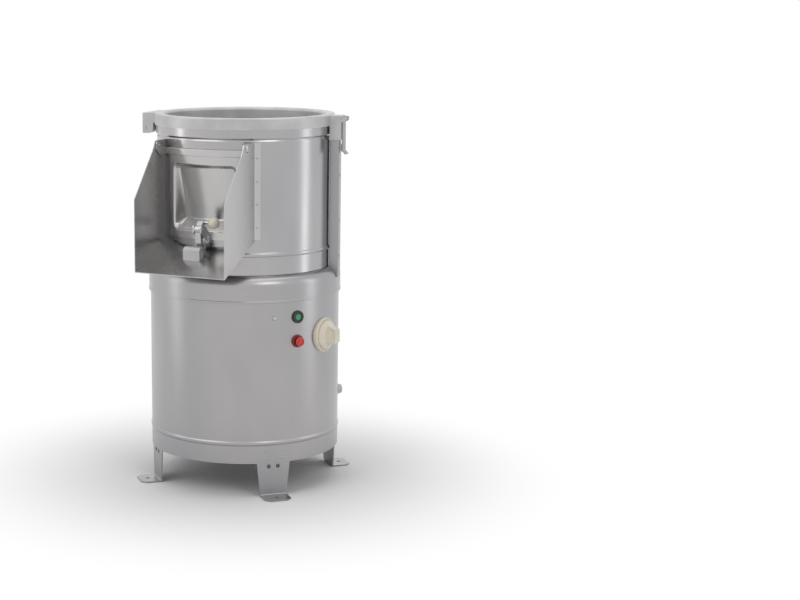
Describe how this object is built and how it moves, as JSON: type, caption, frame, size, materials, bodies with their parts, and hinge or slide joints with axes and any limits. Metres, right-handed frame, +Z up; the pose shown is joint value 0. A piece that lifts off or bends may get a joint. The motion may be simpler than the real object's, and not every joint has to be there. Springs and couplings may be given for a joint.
{
  "type": "potato peeler",
  "caption": "Free-standing electric drum peeler: round steel base on four strap legs, peeling drum with hinged top ring, hinged door over a side chute, drain spout and timer controls.",
  "frame": {"origin": "machine axis where it meets the floor, centre of the four foot bolts", "axes": "+Z up along the machine axis; the chute faces -Y; a bearing counts from the chute towards +X, where the timer sits"},
  "size_m": [0.4884, 0.5223, 0.835],
  "materials": {
    "steel_shell": "satin stainless sheet",
    "drum_steel": "satin stainless sheet",
    "bright_steel": "bright stainless sheet",
    "cast_ring": "satin casting",
    "pin_steel": "turned steel",
    "dark_steel": "dark rolled steel",
    "cream_plastic": "smooth",
    "green_plastic": "smooth",
    "red_plastic": "smooth",
    "dark_red_plastic": "matt",
    "black_plastic": "matt",
    "gland_plastic": "matt",
    "seal_rubber": "matt",
    "grit": "coarse bonded grit",
    "motor_paint": "satin paint",
    "cast_iron": "machined"
  },
  "bodies": {
    "housing": {"base_shell": "steel_shell", "base_cap": "steel_shell", "drum_shell": "drum_steel", "chamber_floor": "drum_steel", "abrasive_liner": "grit", "drain_duct": "drum_steel", "drain_spout": "steel_shell", "chute": "bright_steel", "latch_post": "steel_shell", "hinge_bracket": "pin_steel", "hinge_pin": "pin_steel", "catch_block": "cast_ring", "bearing_housing": "cast_iron", "v_belt": "seal_rubber", "motor_deck": "dark_steel", "motor_body": "motor_paint", "timer_dial": "cream_plastic", "timer_body": "black_plastic", "panel_screw": "pin_steel", "cable_gland": "gland_plastic", "gland_nut": "gland_plastic", "earth_stud": "pin_steel", "door_pivot_right": "pin_steel", "door_pivot_left": "pin_steel", "upper_bearing": "pin_steel", "lower_bearing": "pin_steel", "shaft_seal": "seal_rubber", "green_bezel": "black_plastic", "red_bezel": "dark_red_plastic", "green_contact": "black_plastic", "red_contact": "black_plastic", "leg_front_right": "steel_shell", "leg_rear_right": "steel_shell", "leg_rear_left": "steel_shell", "leg_front_left": "steel_shell"},
    "ring": {"top_ring": "cast_ring", "latch_pin": "pin_steel"},
    "ring_latch": {"ring_latch": "dark_steel"},
    "door": {"discharge_door": "bright_steel", "door_gasket": "seal_rubber", "door_hinge_frame": "bright_steel", "latch_bracket": "pin_steel", "latch_axle": "pin_steel"},
    "door_latch": {"latch_hook": "pin_steel", "latch_ball": "cream_plastic"},
    "rotor": {"abrasive_disc": "grit", "drive_shaft": "pin_steel", "disc_nut": "pin_steel", "driven_pulley": "cast_iron"},
    "motor_rotor": {"motor_shaft": "pin_steel", "motor_pulley": "cast_iron"},
    "green_button": {"green_button": "green_plastic"},
    "red_button": {"red_button": "red_plastic"},
    "timer_knob": {"timer_knob": "cream_plastic", "timer_spindle": "pin_steel"}
  },
  "joints": [
    {"name": "ring_hinge", "type": "hinge", "parent": "housing", "child": "ring", "pos_m": [-0.21223, -0.03742, 0.799], "axis": [0.1736, -0.9848, 0], "range_deg": [0, 95]},
    {"name": "ring_latch_hinge", "type": "hinge", "parent": "ring", "child": "ring_latch", "pos_m": [0.22946, 0.04046, 0.826], "axis": [0.1736, -0.9848, 0], "range_deg": [0, 40]},
    {"name": "door_hinge", "type": "hinge", "parent": "housing", "child": "door", "pos_m": [0, -0.199, 0.772], "axis": [-1, 0, 0], "range_deg": [0, 65]},
    {"name": "door_latch_hinge", "type": "hinge", "parent": "door", "child": "door_latch", "pos_m": [0, -0.236, 0.599], "axis": [1, 0, 0], "range_deg": [0, 17]},
    {"name": "disc_spin", "type": "hinge", "parent": "housing", "child": "rotor", "pos_m": [0, 0, 0.54], "axis": [0, 0, 1], "continuous": true},
    {"name": "motor_spin", "type": "hinge", "parent": "housing", "child": "motor_rotor", "pos_m": [0, -0.112, 0.25], "axis": [0, 0, 1], "continuous": true},
    {"name": "green_press", "type": "slide", "parent": "housing", "child": "green_button", "axis": [-0.866, 0.5, 0], "range_m": [0, 0.004], "stiffness_N_per_m": 400},
    {"name": "red_press", "type": "slide", "parent": "housing", "child": "red_button", "axis": [-0.866, 0.5, 0], "range_m": [0, 0.004], "stiffness_N_per_m": 400},
    {"name": "timer_turn", "type": "hinge", "parent": "housing", "child": "timer_knob", "pos_m": [0.21812, -0.02872, 0.35], "axis": [0.9914, -0.1305, 0], "range_deg": [0, 300]}
  ],
  "couplings": [
    {"joint": "motor_spin", "follows": "disc_spin", "ratio": 2.6}
  ]
}
